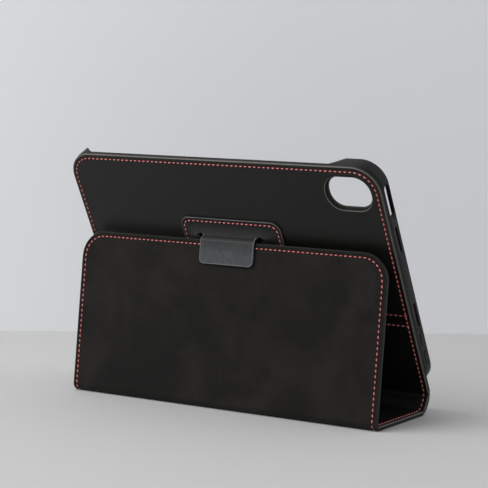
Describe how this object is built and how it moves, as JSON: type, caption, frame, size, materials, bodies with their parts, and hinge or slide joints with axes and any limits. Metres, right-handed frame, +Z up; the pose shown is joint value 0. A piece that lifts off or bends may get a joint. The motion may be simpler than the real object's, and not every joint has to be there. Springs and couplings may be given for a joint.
{
  "type": "tablet folio case",
  "caption": "Folio case with a moulded tray shell, folding stand cover, tuck-in tab, camera window and pressed volume pads.",
  "frame": {"origin": "centre of the bottom of the box round the case as it stands", "axes": "+X to the right seen from behind, along the fold lines; +Y towards the screen side; +Z up"},
  "size_m": [0.199, 0.0704, 0.1403],
  "materials": {
    "leather": "smooth black leather, low sheen",
    "fold_leather": "creased black leather strip",
    "tab_leather": "smooth dark grey-black leather with a brushed sheen",
    "lining": "brushed dark lining",
    "board": "plain stiffener board",
    "thread": "red stitching thread",
    "shell": "satin black moulded TPU",
    "magnet": "plated magnet"
  },
  "bodies": {
    "holder": {"shell": "shell", "back_leather": "leather", "back_board_upper": "board", "back_board_lower": "board", "back_lining": "lining", "back_thread": "thread", "waist_thread": "thread", "tab_patch": "tab_leather", "tab_thread": "thread"},
    "tab_root": {"tab_bridge": "tab_leather"},
    "tab_tip": {"tab_flap": "tab_leather"},
    "volume_up_pad": {"volume_up": "shell"},
    "volume_down_pad": {"volume_down": "shell"},
    "spine": {"spine_leather": "leather", "spine_board": "board", "spine_lining": "lining", "spine_thread": "thread", "spine_crease": "fold_leather"},
    "floor_section": {"floor_leather": "leather", "floor_board": "board", "floor_lining": "lining", "floor_thread": "thread", "floor_crease": "fold_leather"},
    "upright_section": {"upright_leather": "leather", "upright_board": "board", "upright_lining": "lining", "upright_thread": "thread", "wake_magnets": "magnet", "rear_crease": "fold_leather"}
  },
  "joints": [
    {"name": "spine_fold", "type": "hinge", "parent": "holder", "child": "spine", "pos_m": [0, 0.02857, 0.01038], "axis": [1, 0, 0], "range_deg": [0, 148.2], "deforming": ["spine_crease"]},
    {"name": "floor_fold", "type": "hinge", "parent": "spine", "child": "floor_section", "pos_m": [0, 0.02287, 0.0012], "axis": [1, 0, 0], "range_deg": [0, 148.2], "deforming": ["floor_crease"]},
    {"name": "rear_fold", "type": "hinge", "parent": "floor_section", "child": "upright_section", "pos_m": [0, -0.02848, 0.00178], "axis": [1, 0, 0], "range_deg": [0, 96.87], "deforming": ["rear_crease"]},
    {"name": "tab_lift", "type": "hinge", "parent": "holder", "child": "tab_root", "pos_m": [0, -0.01492, 0.09393], "axis": [1, 0, 0], "range_deg": [-30, 100.37], "deforming": ["tab_bridge", "tab_flap"]},
    {"name": "tab_curl", "type": "hinge", "parent": "tab_root", "child": "tab_tip", "pos_m": [0, -0.02026, 0.09239], "axis": [1, 0, 0], "range_deg": [-67.16, 20.11]},
    {"name": "volume_up_press", "type": "slide", "parent": "holder", "child": "volume_up_pad", "axis": [-1, 0, 0], "range_m": [0, 0.0004], "stiffness_N_per_m": 500, "springref_m": -0.0004},
    {"name": "volume_down_press", "type": "slide", "parent": "holder", "child": "volume_down_pad", "axis": [-1, 0, 0], "range_m": [0, 0.0004], "stiffness_N_per_m": 500, "springref_m": -0.0004}
  ],
  "couplings": [
    {"joint": "tab_curl", "follows": "tab_lift", "ratio": -0.66855}
  ]
}
